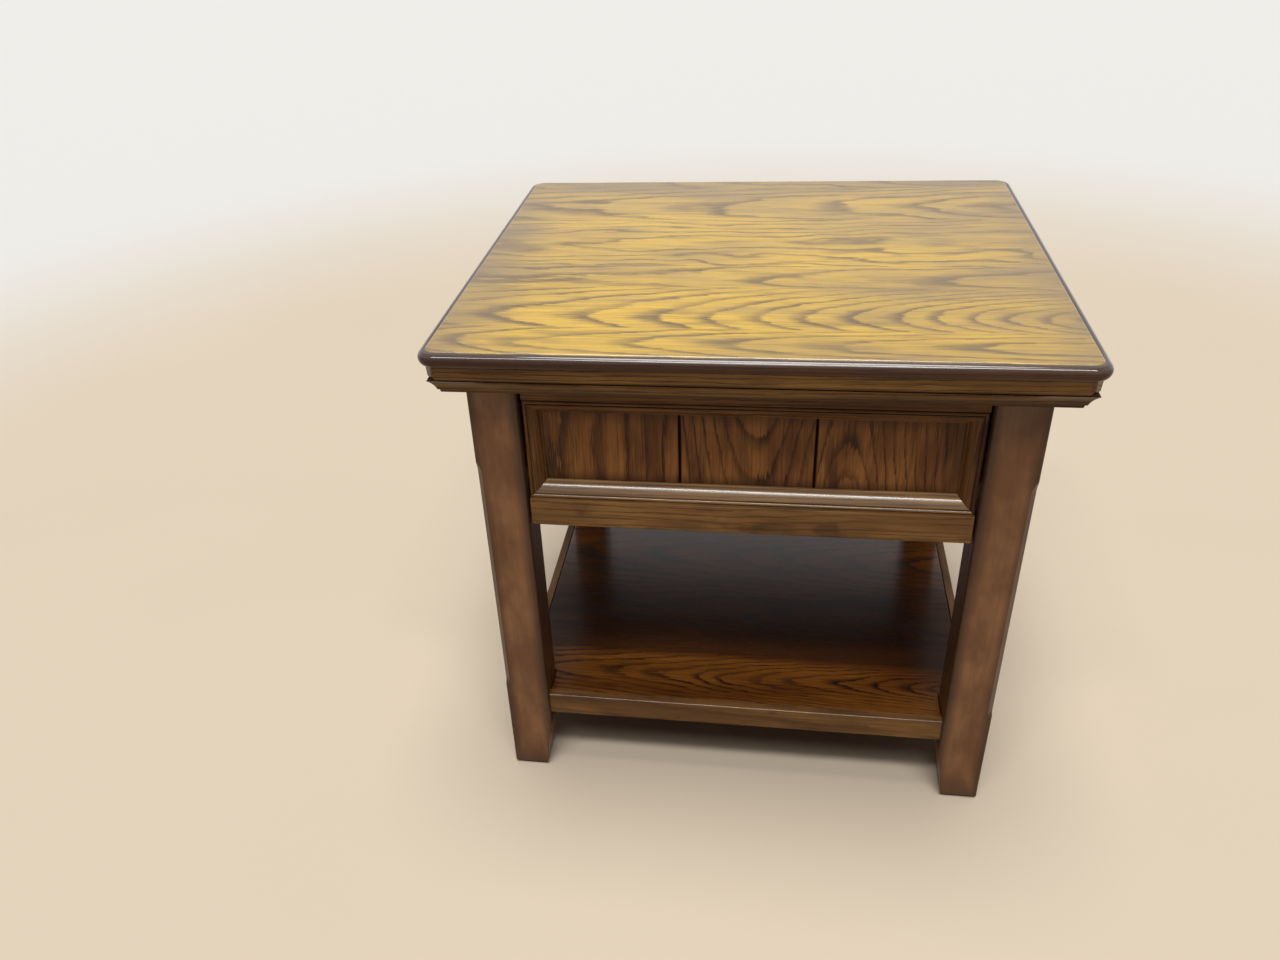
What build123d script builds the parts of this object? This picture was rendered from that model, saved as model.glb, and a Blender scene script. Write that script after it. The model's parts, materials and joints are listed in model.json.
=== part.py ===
from build123d import *
import os

# Side table with one drawer and an open shelf. Millimetres, +Z up, front towards -Y.
# The origin is on the floor, under the middle of the top.

# ---------------------------------------------------------------- driving dimensions
TABLE_WIDTH = 660
TABLE_DEPTH = 580
TABLE_HEIGHT = 610

TOP_THICK = 16.5          # board and nosing
FASCIA_HEIGHT = 15        # square band under the nosing
CORNICE_HEIGHT = 18.5     # coved band that carries the fascia
STRIP_REACH = 90          # how far fascia and cornice run in from the edge of the top

LEG_SIDE = 53
LEG_INSET_X = 38          # from the edge of the top to the leg's outer face
LEG_INSET_Y = 37.5
GLIDE_HEIGHT = 2
GLIDE_RADIUS = 11

APRON_THICK = 18
APRON_RECESS = 6          # behind the legs' outer faces
APRON_BOTTOM = 380

SHELF_TOP = 119
SHELF_DEPTH = 30
SHELF_RECESS_FRONT = 7
SHELF_RECESS_SIDE = 9.3

DRAWER_FRONT_BOTTOM = 380
DRAWER_FRONT_TOP = 557
DRAWER_GAP = 2.5          # each side, between the drawer front and the legs
DRAWER_BOX_DEPTH = 405
DRAWER_BOX_BOTTOM = 396
DRAWER_BOX_TOP = 521
DRAWER_WALL = 12

SLIDE_LENGTH = 400
SLIDE_THICK = 12.7        # from the leg's inner face to the drawer side
SLIDE_Z = 455
SLIDE_SETBACK = 2.5       # behind the back of the drawer front

DOWEL_RADIUS = 4
DOWEL_LENGTH = 40
SCREW_RADIUS = 2
FIT = 0.05                # radial clearance round dowels, screws and nails
END_FIT = 1               # how much longer a hole is than the dowel or nail in it

# ---------------------------------------------------------------- worked-out places
TOP_UNDER = TABLE_HEIGHT - TOP_THICK
FASCIA_UNDER = TOP_UNDER - FASCIA_HEIGHT
CORNICE_UNDER = FASCIA_UNDER - CORNICE_HEIGHT

LEG_OUT_X = TABLE_WIDTH / 2 - LEG_INSET_X
LEG_OUT_Y = TABLE_DEPTH / 2 - LEG_INSET_Y
LEG_IN_X = LEG_OUT_X - LEG_SIDE
LEG_IN_Y = LEG_OUT_Y - LEG_SIDE

APRON_OUT_X = LEG_OUT_X - APRON_RECESS
APRON_IN_X = APRON_OUT_X - APRON_THICK
APRON_OUT_Y = LEG_OUT_Y - APRON_RECESS
APRON_IN_Y = APRON_OUT_Y - APRON_THICK

os.makedirs("parts", exist_ok=True)


def save(part, node):
    """Label a finished piece and write it as one STEP file."""
    part.label = node
    export_step(part, f"parts/{node}.step")


def block(x, y, z):
    """A box from its low and high limits along each axis, added to the part being built."""
    middle = ((x[0] + x[1]) / 2, (y[0] + y[1]) / 2, (z[0] + z[1]) / 2)
    with Locations(middle):
        Box(x[1] - x[0], y[1] - y[0], z[1] - z[0])


def rods(places, radius, length, lean, mode=Mode.ADD):
    """Equal cylinders centred on the places, turned by the lean from upright."""
    with Locations(*places):
        Cylinder(radius, length, rotation=lean, mode=mode)


ALONG_X = (0, 90, 0)
ALONG_Y = (90, 0, 0)

# ---------------------------------------------------------------- top board and nosing
NOSING_WIDTH = 8
CORNER_RADIUS = 20        # of the top, in plan
QUIRK_DEPTH = 1.4         # step between the board's face and the nosing
NOSE_SHOULDER = 5.5       # width of the nosing's rounded part
NOSE_MIDDLE = 9           # the nosing's widest point, below the top
TOP_ARRIS = 2             # rounding of the board's upper edge

SCREW_LENGTH = 62
SCREW_BLOCK = 20          # thickness of the blocks and the rail the screws pass
BLOCK_SCREW_X = LEG_IN_X + 15
BLOCK_SCREW_Y = (-170, -140, 150, 180)
RAIL_SCREW_X = 100
RAIL_SCREW_Y = -206
BOTH = (-1, 1)
top_screw_places = [(sx * BLOCK_SCREW_X, y) for sx in BOTH for y in BLOCK_SCREW_Y]
top_screw_places += [(sx * RAIL_SCREW_X, RAIL_SCREW_Y) for sx in BOTH]
screw_bottom = CORNICE_UNDER - SCREW_BLOCK


def top_screw_holes():
    """Clearance holes for the long screws that hold the top to the frame."""
    places = [(x, y, screw_bottom + SCREW_LENGTH / 2) for x, y in top_screw_places]
    with Locations(*places):
        Cylinder(SCREW_RADIUS + FIT, SCREW_LENGTH + END_FIT, mode=Mode.SUBTRACT)


with BuildPart() as top_board:
    with BuildSketch(Plane.XY.offset(TOP_UNDER)):
        RectangleRounded(
            TABLE_WIDTH - 2 * NOSING_WIDTH,
            TABLE_DEPTH - 2 * NOSING_WIDTH,
            CORNER_RADIUS - NOSING_WIDTH,
        )
    extrude(amount=TOP_THICK)
    fillet(top_board.faces().sort_by(Axis.Z)[-1].edges(), TOP_ARRIS)
    top_screw_holes()
save(top_board.part, "top_board")

# Each side's name, its half length, its half depth from the middle, and its turn from the front.
SIDES = [
    ("front", TABLE_WIDTH / 2, TABLE_DEPTH / 2, 0),
    ("right", TABLE_DEPTH / 2, TABLE_WIDTH / 2, 90),
    ("back", TABLE_WIDTH / 2, TABLE_DEPTH / 2, 180),
    ("left", TABLE_DEPTH / 2, TABLE_WIDTH / 2, 270),
]

for side, half_length, half_depth, turn in SIDES:
    edge = -half_depth
    shoulder = edge + NOSE_SHOULDER
    nose = (edge, TABLE_HEIGHT - NOSE_MIDDLE)
    bend_x = half_length - CORNER_RADIUS
    with BuildPart() as nosing:
        with BuildSketch(Plane.YZ.offset(-bend_x)) as nose_section:
            with BuildLine():
                upper = TangentArc(nose, (shoulder, TABLE_HEIGHT - QUIRK_DEPTH), tangent=(0, 1))
                lower = TangentArc(nose, (shoulder, TOP_UNDER), tangent=(0, -1))
                Polyline(
                    upper @ 1,
                    (edge + NOSING_WIDTH, TABLE_HEIGHT - QUIRK_DEPTH),
                    (edge + NOSING_WIDTH, TOP_UNDER),
                    lower @ 1,
                )
            make_face()
        extrude(amount=2 * bend_x)
        # Round each corner for half its turn, where it meets the next strip in a mitre.
        for end, spin in ((-bend_x, -1), (bend_x, 1)):
            with BuildSketch(Plane.YZ.offset(end)):
                add(nose_section.sketch_local)
            pivot = Axis((end, edge + CORNER_RADIUS, 0), (0, 0, spin))
            revolve(axis=pivot, revolution_arc=45)
    save(nosing.part.rotate(Axis.Z, turn), f"top_nosing_{side}")

# ---------------------------------------------------------------- fascia and cornice
FASCIA_INSET = 5          # from the edge of the top
FASCIA_DRAFT = 2          # how far the fascia's foot leans in
FASCIA_CLIP = 15          # the fascia's corners are cut off at 45 degrees
CORNICE_LIP = 1.5         # thin shadow line under the fascia
CORNICE_LIP_DEPTH = 2
CORNICE_INSET = 8
COVE_HOLLOW = (0.9, 0.6)  # how far the cove sinks in and up from a straight slope
COVE_BOTTOM_INSET = 16
CORNICE_FOOT_INSET = 18.5
CORNICE_FOOT = 4          # height of the small square foot
CORNICE_FOOT_LEAN = 1


def mitred_strip(points, half_length, half_depth, turn, clip=0.0):
    """A moulding along one side, mitred at both ends. Points are (inset, z), in order."""
    edge = -half_depth
    with BuildPart() as strip:
        with BuildSketch(Plane.YZ):
            with BuildLine():
                for start, via, end in points:
                    if via:
                        ThreePointArc(*[(edge + e, z) for e, z in (start, via, end)])
                    else:
                        Line(*[(edge + e, z) for e, z in (start, end)])
            make_face()
        extrude(amount=half_length, both=True)
        with BuildSketch(Plane.XY.offset(CORNICE_UNDER)):
            reach = STRIP_REACH
            Polygon(
                (-half_length, edge),
                (half_length, edge),
                (half_length - reach, edge + reach),
                (-half_length + reach, edge + reach),
                align=None,
            )
            if clip:
                with Locations((-half_length, edge), (half_length, edge)):
                    Rectangle(clip * 2**0.5, clip * 2**0.5, rotation=45, mode=Mode.SUBTRACT)
        extrude(amount=TABLE_HEIGHT - CORNICE_UNDER, mode=Mode.INTERSECT)
    return strip.part.rotate(Axis.Z, turn)


def straight(points):
    """A closed outline of straight stretches."""
    return [(a, None, b) for a, b in zip(points, points[1:] + points[:1])]


fascia_outline = straight(
    [
        (FASCIA_INSET, TOP_UNDER),
        (FASCIA_INSET + FASCIA_DRAFT, FASCIA_UNDER),
        (STRIP_REACH, FASCIA_UNDER),
        (STRIP_REACH, TOP_UNDER),
    ]
)

lip_z = FASCIA_UNDER - CORNICE_LIP
foot_z = CORNICE_UNDER + CORNICE_FOOT
cove_start = (CORNICE_INSET, lip_z)
cove_end = (COVE_BOTTOM_INSET, foot_z)
cove_middle = tuple((a + b) / 2 + sink for a, b, sink in zip(cove_start, cove_end, COVE_HOLLOW))
cornice_corners = [
    cove_end,
    (CORNICE_FOOT_INSET - CORNICE_FOOT_LEAN, foot_z),
    (CORNICE_FOOT_INSET, CORNICE_UNDER),
    (STRIP_REACH, CORNICE_UNDER),
    (STRIP_REACH, FASCIA_UNDER),
    (CORNICE_INSET + CORNICE_LIP_DEPTH, FASCIA_UNDER),
    (CORNICE_INSET + CORNICE_LIP_DEPTH, lip_z),
    cove_start,
]
cornice_outline = [(a, None, b) for a, b in zip(cornice_corners, cornice_corners[1:])]
cornice_outline.append((cove_start, cove_middle, cove_end))

for side, half_length, half_depth, turn in SIDES:
    fascia = mitred_strip(
        fascia_outline,
        half_length,
        half_depth,
        turn,
        clip=FASCIA_CLIP + 2 * FASCIA_INSET,
    )
    cornice = mitred_strip(cornice_outline, half_length, half_depth, turn)
    for strip, name in ((fascia, "fascia"), (cornice, "cornice")):
        with BuildPart() as bored:
            add(strip)
            top_screw_holes()
        save(bored.part, f"{name}_{side}")

# ---------------------------------------------------------------- dowels
APRON_MID_X = (APRON_OUT_X + APRON_IN_X) / 2
APRON_MID_Y = (APRON_OUT_Y + APRON_IN_Y) / 2
APRON_DOWEL_Z = (415, 525)
RAIL_DOWEL_Y = -207
RAIL_DOWEL_Z = CORNICE_UNDER - SCREW_BLOCK / 2
SHELF_RAIL = 22           # width of the rails round the shelf
SHELF_MID_X = LEG_OUT_X - SHELF_RECESS_SIDE - SHELF_RAIL / 2
SHELF_MID_Y = LEG_OUT_Y - SHELF_RECESS_FRONT - SHELF_RAIL / 2
SHELF_DOWEL_RISE = 8      # above the foot of the shelf's rails
SHELF_DOWEL_Z = SHELF_TOP - SHELF_DEPTH + SHELF_DOWEL_RISE

dowels_along_y = [
    (sx * APRON_MID_X, sy * LEG_IN_Y, z) for sx in BOTH for sy in BOTH for z in APRON_DOWEL_Z
]
dowels_along_y += [(sx * SHELF_MID_X, sy * LEG_IN_Y, SHELF_DOWEL_Z) for sx in BOTH for sy in BOTH]
dowels_along_x = [(sx * LEG_IN_X, APRON_MID_Y, z) for sx in BOTH for z in APRON_DOWEL_Z]
dowels_along_x += [(sx * LEG_IN_X, RAIL_DOWEL_Y, RAIL_DOWEL_Z) for sx in BOTH]
dowels_along_x += [(sx * LEG_IN_X, sy * SHELF_MID_Y, SHELF_DOWEL_Z) for sx in BOTH for sy in BOTH]


def dowel_holes():
    """Every dowel hole of the frame, cut where it crosses the part being built."""
    for places, lean in ((dowels_along_x, ALONG_X), (dowels_along_y, ALONG_Y)):
        rods(places, DOWEL_RADIUS + FIT, DOWEL_LENGTH + END_FIT, lean, Mode.SUBTRACT)


with BuildPart() as rail_dowels:
    rods(dowels_along_x, DOWEL_RADIUS, DOWEL_LENGTH, ALONG_X)
    rods(dowels_along_y, DOWEL_RADIUS, DOWEL_LENGTH, ALONG_Y)
save(rail_dowels.part, "rail_dowels")

# ---------------------------------------------------------------- slide fixings
CHANNEL_SCREW_Y = (-205, -40, 150)
CHANNEL_SCREW_LENGTH = 18
CHANNEL_WALL = 1.2
SCREW_HEAD = 3.6
COUNTERSINK = 2.4
NAIL_LENGTH = 12
NAIL_RADIUS = 1.2


def countersunk(planes, length, grow=0.0, mode=Mode.ADD):
    """Countersunk screws, each driven along its plane's normal with its head at the origin."""
    from_head = (Align.CENTER, Align.CENTER, Align.MIN)
    with Locations(*planes):
        Cone(SCREW_HEAD + grow, SCREW_RADIUS + grow, COUNTERSINK, align=from_head, mode=mode)
        Cylinder(SCREW_RADIUS + grow, length + grow, align=from_head, mode=mode)


def channel_screw_planes(side):
    """Where screws pass from a slide's channel into the front leg and the batten."""
    head_x = side * (LEG_IN_X - CHANNEL_WALL)
    return [Plane(origin=(head_x, y, SLIDE_Z), z_dir=(side, 0, 0)) for y in CHANNEL_SCREW_Y]


# ---------------------------------------------------------------- legs
STOP_WIDTH = 4.1          # how deep the stopped chamfer cuts the outer corner
STOP_TOP = (473, 449)     # tip and end of the upper lamb's tongue
STOP_FOOT = (133, 145)
EDGE_ROUND = 7
CORNER_EASE = 2.5         # the outer corner, above and below its chamfer
TAPER_HEIGHT = 78
TAPER = 10
FOOT_EASE = 2
CUT_SPARE = 1             # how far a cut starts and ends outside the part

foot_x = LEG_OUT_X - (LEG_SIDE - TAPER) / 2
foot_y = LEG_OUT_Y - (LEG_SIDE - TAPER) / 2
taper_top = GLIDE_HEIGHT + TAPER_HEIGHT

with BuildPart() as leg_blank:
    block((-LEG_OUT_X, -LEG_IN_X), (-LEG_OUT_Y, -LEG_IN_Y), (GLIDE_HEIGHT, CORNICE_UNDER))
    upright = leg_blank.edges().filter_by(Axis.Z)
    outer_corner = upright.sort_by(lambda e: e.center().X + e.center().Y)[0]
    fillet([e for e in upright if e is not outer_corner], EDGE_ROUND)
    outer_corner = leg_blank.edges().filter_by(Axis.Z).sort_by(
        lambda e: e.center().X + e.center().Y
    )[0]
    fillet(outer_corner, CORNER_EASE)
    # The two inner faces taper towards the foot.
    for plane, inner_face in (
        (Plane.XZ.offset(LEG_IN_Y - CUT_SPARE), -LEG_IN_X),
        (Plane.YZ.offset(-LEG_OUT_X - CUT_SPARE), -LEG_IN_Y),
    ):
        with BuildSketch(plane):
            Polygon(
                (inner_face, taper_top),
                (inner_face + CUT_SPARE, 0),
                (inner_face - TAPER, GLIDE_HEIGHT),
                align=None,
            )
        extrude(amount=LEG_SIDE + 2 * CUT_SPARE, mode=Mode.SUBTRACT)
    # Stopped chamfer on the outer corner, drawn in the plane through that corner's diagonal.
    diagonal = Plane(origin=(-LEG_OUT_X, -LEG_OUT_Y, 0), x_dir=(1, 1, 0), z_dir=(1, -1, 0))
    with BuildSketch(diagonal):
        with BuildLine():
            tongue_top = Spline(
                (0, STOP_TOP[0]),
                (STOP_WIDTH, STOP_TOP[1]),
                tangents=((0, -1), (0, -1)),
            )
            tongue_foot = Spline(
                (STOP_WIDTH, STOP_FOOT[1]),
                (0, STOP_FOOT[0]),
                tangents=((0, -1), (0, -1)),
            )
            Line(tongue_top @ 1, tongue_foot @ 0)
            Polyline(
                tongue_foot @ 1,
                (-STOP_WIDTH, STOP_FOOT[0]),
                (-STOP_WIDTH, STOP_TOP[0]),
                tongue_top @ 0,
            )
        make_face()
    extrude(amount=LEG_SIDE, both=True, mode=Mode.SUBTRACT)
    chamfer(leg_blank.faces().sort_by(Axis.Z)[0].edges(), FOOT_EASE)

LEGS = [
    ("front_left", (-1, -1)),
    ("front_right", (1, -1)),
    ("back_left", (-1, 1)),
    ("back_right", (1, 1)),
]

for corner, (sx, sy) in LEGS:
    blank = leg_blank.part
    if sx > 0:
        blank = mirror(blank, about=Plane.YZ)
    if sy > 0:
        blank = mirror(blank, about=Plane.XZ)
    with BuildPart() as leg:
        add(blank)
        dowel_holes()
        with Locations((sx * foot_x, sy * foot_y, GLIDE_HEIGHT)):
            Cylinder(NAIL_RADIUS + FIT, 2 * NAIL_LENGTH + END_FIT, mode=Mode.SUBTRACT)
        if sy < 0:
            countersunk(channel_screw_planes(sx), CHANNEL_SCREW_LENGTH, FIT, Mode.SUBTRACT)
    save(leg.part, f"leg_{corner}")

GLIDE_EASE = 0.6
with BuildPart() as foot_glides:
    with BuildSketch():
        with Locations(*[(sx * foot_x, sy * foot_y) for _, (sx, sy) in LEGS]):
            Circle(GLIDE_RADIUS)
    extrude(amount=GLIDE_HEIGHT)
    chamfer(foot_glides.faces().group_by(Axis.Z)[0].edges(), GLIDE_EASE)
    with BuildSketch(Plane.XY.offset(GLIDE_HEIGHT)):
        with Locations(*[(sx * foot_x, sy * foot_y) for _, (sx, sy) in LEGS]):
            Circle(NAIL_RADIUS)
    extrude(amount=NAIL_LENGTH)
save(foot_glides.part, "foot_glides")

# ---------------------------------------------------------------- aprons and front rail
APRON_BEAD = 2
for name, sx in (("left", -1), ("right", 1)):
    with BuildPart() as side_apron:
        block(
            sorted((sx * APRON_IN_X, sx * APRON_OUT_X)),
            (-LEG_IN_Y, LEG_IN_Y),
            (APRON_BOTTOM, CORNICE_UNDER),
        )
        fillet(side_apron.faces().sort_by(Axis.Z)[0].edges().filter_by(Axis.Y), APRON_BEAD)
        dowel_holes()
    save(side_apron.part, f"side_apron_{name}")

with BuildPart() as back_apron:
    block((-LEG_IN_X, LEG_IN_X), (APRON_IN_Y, APRON_OUT_Y), (APRON_BOTTOM, CORNICE_UNDER))
    fillet(back_apron.faces().sort_by(Axis.Z)[0].edges().filter_by(Axis.X), APRON_BEAD)
    dowel_holes()
save(back_apron.part, "back_apron")

FRONT_RAIL_Y = (-213, -183)
with BuildPart() as front_rail:
    block((-LEG_IN_X, LEG_IN_X), FRONT_RAIL_Y, (CORNICE_UNDER - SCREW_BLOCK, CORNICE_UNDER))
    dowel_holes()
    top_screw_holes()
save(front_rail.part, "front_rail")

# ---------------------------------------------------------------- corner blocks
CORNER_REACH = 44         # how far each block runs along the rail
for corner, (sx, sy) in LEGS:
    rail_face = APRON_IN_Y if sy > 0 else -FRONT_RAIL_Y[1]
    reach_x = LEG_IN_X - CORNER_REACH
    reach_y = rail_face - (APRON_IN_X - reach_x)
    outline = [
        (APRON_IN_X, LEG_IN_Y),
        (LEG_IN_X, LEG_IN_Y),
        (LEG_IN_X, rail_face),
        (reach_x, rail_face),
        (APRON_IN_X, reach_y),
    ]
    with BuildPart() as corner_block:
        with BuildSketch(Plane.XY.offset(CORNICE_UNDER - SCREW_BLOCK)):
            Polygon(*[(sx * x, sy * y) for x, y in outline], align=None)
        extrude(amount=SCREW_BLOCK)
        top_screw_holes()
    save(corner_block.part, f"corner_block_{corner}")

TOP_SCREW_HEAD = 4
TOP_HEAD_HEIGHT = 2.5
with BuildPart() as top_screws:
    with BuildSketch(Plane.XY.offset(screw_bottom)):
        with Locations(*top_screw_places):
            Circle(SCREW_RADIUS)
    extrude(amount=SCREW_LENGTH)
    with BuildSketch(Plane.XY.offset(screw_bottom - TOP_HEAD_HEIGHT)):
        with Locations(*top_screw_places):
            Circle(TOP_SCREW_HEAD)
    extrude(amount=TOP_HEAD_HEIGHT)
save(top_screws.part, "top_screws")

# ---------------------------------------------------------------- shelf
LIP_WIDTH = 10            # the part of each rail that shows round the shelf panel
PANEL_THICK = 15
PANEL_GAP = 1             # dark line between the panel and its rails
PANEL_CLEAR = 0.5         # round the legs
PANEL_EASE = 0.6
rabbet_floor = SHELF_TOP - PANEL_THICK
shelf_out_x = LEG_OUT_X - SHELF_RECESS_SIDE
shelf_out_y = LEG_OUT_Y - SHELF_RECESS_FRONT
RAIL_EASE = 1.2


def shelf_rail(outer, half_length, turn):
    """A rail with a rabbet for the shelf panel, along the front, then turned to its side."""
    with BuildPart() as rail:
        with BuildSketch(Plane.YZ):
            Polygon(
                (-outer, SHELF_TOP - SHELF_DEPTH),
                (-outer + SHELF_RAIL, SHELF_TOP - SHELF_DEPTH),
                (-outer + SHELF_RAIL, rabbet_floor),
                (-outer + LIP_WIDTH, rabbet_floor),
                (-outer + LIP_WIDTH, SHELF_TOP),
                (-outer, SHELF_TOP),
                align=None,
            )
        extrude(amount=half_length, both=True)
        outer_edges = rail.edges().filter_by(Axis.X).group_by(Axis.Y)[0]
        fillet(outer_edges, RAIL_EASE)
    turned = rail.part.rotate(Axis.Z, turn)
    with BuildPart() as bored:
        add(turned)
        dowel_holes()
    return bored.part


for side, outer, half_length, turn in (
    ("front", shelf_out_y, LEG_IN_X, 0),
    ("right", shelf_out_x, LEG_IN_Y, 90),
    ("back", shelf_out_y, LEG_IN_X, 180),
    ("left", shelf_out_x, LEG_IN_Y, 270),
):
    save(shelf_rail(outer, half_length, turn), f"shelf_rail_{side}")

panel_x = shelf_out_x - LIP_WIDTH - PANEL_GAP
panel_y = shelf_out_y - LIP_WIDTH - PANEL_GAP
with BuildPart() as shelf_panel:
    with BuildSketch(Plane.XY.offset(rabbet_floor)):
        Rectangle(2 * (LEG_IN_X - PANEL_CLEAR), 2 * panel_y)
        Rectangle(2 * panel_x, 2 * (LEG_IN_Y - PANEL_CLEAR))
    extrude(amount=PANEL_THICK)
    chamfer(shelf_panel.faces().sort_by(Axis.Z)[-1].edges(), PANEL_EASE)
save(shelf_panel.part, "shelf_panel")

# ---------------------------------------------------------------- drawer front
FRONT_BOARD_Y = (-230, -216)
BOTTOM_RAIL_FACE = -247.5
TOP_RAIL_FACE = -243
MOULDING_WIDTH = 18
MOULDING_BOTTOM = 415.5
MOULDING_TOP = 536.5
PLANK_HALF = 71.3         # half the middle plank's width
GROOVE_WIDTH = 3
GROOVE_DEPTH = 2.4
front_half = LEG_IN_X - DRAWER_GAP
board_face = FRONT_BOARD_Y[0]
FRONT_SCREW_LENGTH = 24
FRONT_SCREW_X = 150
FRONT_SCREW_Z = (430, 490)
front_screw_y = FRONT_BOARD_Y[1] + DRAWER_WALL
front_screw_planes = [
    Plane(origin=(sx * FRONT_SCREW_X, front_screw_y, z), z_dir=(0, -1, 0))
    for sx in BOTH
    for z in FRONT_SCREW_Z
]

with BuildPart() as drawer_front_panel:
    block((-front_half, front_half), FRONT_BOARD_Y, (DRAWER_FRONT_BOTTOM, DRAWER_FRONT_TOP))
    with BuildSketch(Plane.XY.offset(DRAWER_FRONT_BOTTOM)):
        for x in (-PLANK_HALF, PLANK_HALF):
            Polygon(
                (x - GROOVE_WIDTH / 2, board_face),
                (x + GROOVE_WIDTH / 2, board_face),
                (x, board_face + GROOVE_DEPTH),
                align=None,
            )
    extrude(amount=DRAWER_FRONT_TOP - DRAWER_FRONT_BOTTOM, mode=Mode.SUBTRACT)
    countersunk(front_screw_planes, FRONT_SCREW_LENGTH, FIT, Mode.SUBTRACT)
save(drawer_front_panel.part, "drawer_front_panel")

LOWER_EDGE_ROUND = 5
with BuildPart() as drawer_bottom_rail:
    block(
        (-front_half, front_half),
        (BOTTOM_RAIL_FACE, board_face),
        (DRAWER_FRONT_BOTTOM, MOULDING_BOTTOM),
    )
    face_edges = drawer_bottom_rail.edges().filter_by(Axis.X).group_by(Axis.Y)[0]
    fillet(face_edges.sort_by(Axis.Z)[0], LOWER_EDGE_ROUND)
    face_edges = drawer_bottom_rail.edges().filter_by(Axis.X).sort_by(Axis.Z)[-2:]
    fillet(face_edges.sort_by(Axis.Y)[0], RAIL_EASE)
save(drawer_bottom_rail.part, "drawer_bottom_rail")

with BuildPart() as drawer_top_rail:
    block((-front_half, front_half), (TOP_RAIL_FACE, board_face), (MOULDING_TOP, DRAWER_FRONT_TOP))
    fillet(drawer_top_rail.edges().filter_by(Axis.X).group_by(Axis.Y)[0], RAIL_EASE)
save(drawer_top_rail.part, "drawer_top_rail")

# Picture-frame moulding: a bead, a quirk, a fillet, an ovolo and a small step, from the outside in.
BEAD_HEIGHT = 12
BEAD_RISE = 1.5
BEAD_WIDTH = 4
QUIRK_WIDTH = 1.3
QUIRK_CUT = 1.4
FILLET_WIDTH = 1.9
FILLET_DROP = 0.3         # below the bead's foot
OVOLO_DROP = 9.3
OVOLO_CROWN = (0.62, 0.40)  # where the ovolo's middle lies, along its width and its drop
LIP_WIDTH_IN = 1.5
LIP_HEIGHT = 2


def moulding_outline():
    """Stretches of the moulding's section, as (start, via, end) in (width, height)."""
    quirk_end = BEAD_WIDTH + QUIRK_WIDTH
    fillet_end = quirk_end + FILLET_WIDTH
    fillet_z = BEAD_HEIGHT - FILLET_DROP
    ovolo_end = (MOULDING_WIDTH - LIP_WIDTH_IN, fillet_z - OVOLO_DROP)
    ovolo_via = (
        fillet_end + OVOLO_CROWN[0] * (ovolo_end[0] - fillet_end),
        fillet_z - OVOLO_CROWN[1] * OVOLO_DROP,
    )
    return [
        ((0, 0), None, (0, BEAD_HEIGHT)),
        ((0, BEAD_HEIGHT), (BEAD_WIDTH / 2, BEAD_HEIGHT + BEAD_RISE), (BEAD_WIDTH, BEAD_HEIGHT)),
        ((BEAD_WIDTH, BEAD_HEIGHT), None, (BEAD_WIDTH, BEAD_HEIGHT - QUIRK_CUT)),
        ((BEAD_WIDTH, BEAD_HEIGHT - QUIRK_CUT), None, (quirk_end, BEAD_HEIGHT - QUIRK_CUT)),
        ((quirk_end, BEAD_HEIGHT - QUIRK_CUT), None, (quirk_end, fillet_z)),
        ((quirk_end, fillet_z), None, (fillet_end, fillet_z)),
        ((fillet_end, fillet_z), ovolo_via, ovolo_end),
        (ovolo_end, None, (MOULDING_WIDTH, LIP_HEIGHT)),
        ((MOULDING_WIDTH, LIP_HEIGHT), None, (MOULDING_WIDTH, 0)),
        ((MOULDING_WIDTH, 0), None, (0, 0)),
    ]


def moulding_strip(half_length, half_depth, turn):
    """One mitred member, drawn below the opening's middle and turned about it to its side."""
    with BuildPart() as strip:
        with BuildSketch(Plane.YZ):
            with BuildLine():
                for stretch in moulding_outline():
                    points = [(board_face - h, w - half_depth) for w, h in filter(None, stretch)]
                    if stretch[1]:
                        ThreePointArc(*points)
                    else:
                        Line(*points)
            make_face()
        extrude(amount=half_length, both=True)
        with BuildSketch(Plane.XZ.offset(-board_face)):
            Polygon(
                (-half_length, -half_depth),
                (half_length, -half_depth),
                (half_length - MOULDING_WIDTH, MOULDING_WIDTH - half_depth),
                (-half_length + MOULDING_WIDTH, MOULDING_WIDTH - half_depth),
                align=None,
            )
        extrude(amount=BEAD_HEIGHT + BEAD_RISE + CUT_SPARE, mode=Mode.INTERSECT)
    placed = strip.part.rotate(Axis.Y, turn)
    return placed.moved(Location((0, 0, (MOULDING_BOTTOM + MOULDING_TOP) / 2)))


opening_half_height = (MOULDING_TOP - MOULDING_BOTTOM) / 2
for side, half_length, half_depth, turn in (
    ("bottom", front_half, opening_half_height, 0),
    ("left", opening_half_height, front_half, 90),
    ("top", front_half, opening_half_height, 180),
    ("right", opening_half_height, front_half, 270),
):
    save(moulding_strip(half_length, half_depth, turn), f"drawer_moulding_{side}")

# ---------------------------------------------------------------- drawer box
BOX_HALF = LEG_IN_X - SLIDE_THICK
BOX_IN = BOX_HALF - DRAWER_WALL
BOX_FRONT_Y = FRONT_BOARD_Y[1]
BOX_BACK_Y = BOX_FRONT_Y + DRAWER_BOX_DEPTH
GROOVE_Z = 403
PLY_THICK = 5
PLY_SLACK = 0.2
PLY_GROOVE = 6
TOP_EDGE_ROUND = 2
RUNNER_SCREW_Y = (-190, -10, 165)
RUNNER_SCREW_LENGTH = 10
groove_z = (GROOVE_Z, GROOVE_Z + PLY_THICK + PLY_SLACK)

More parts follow.
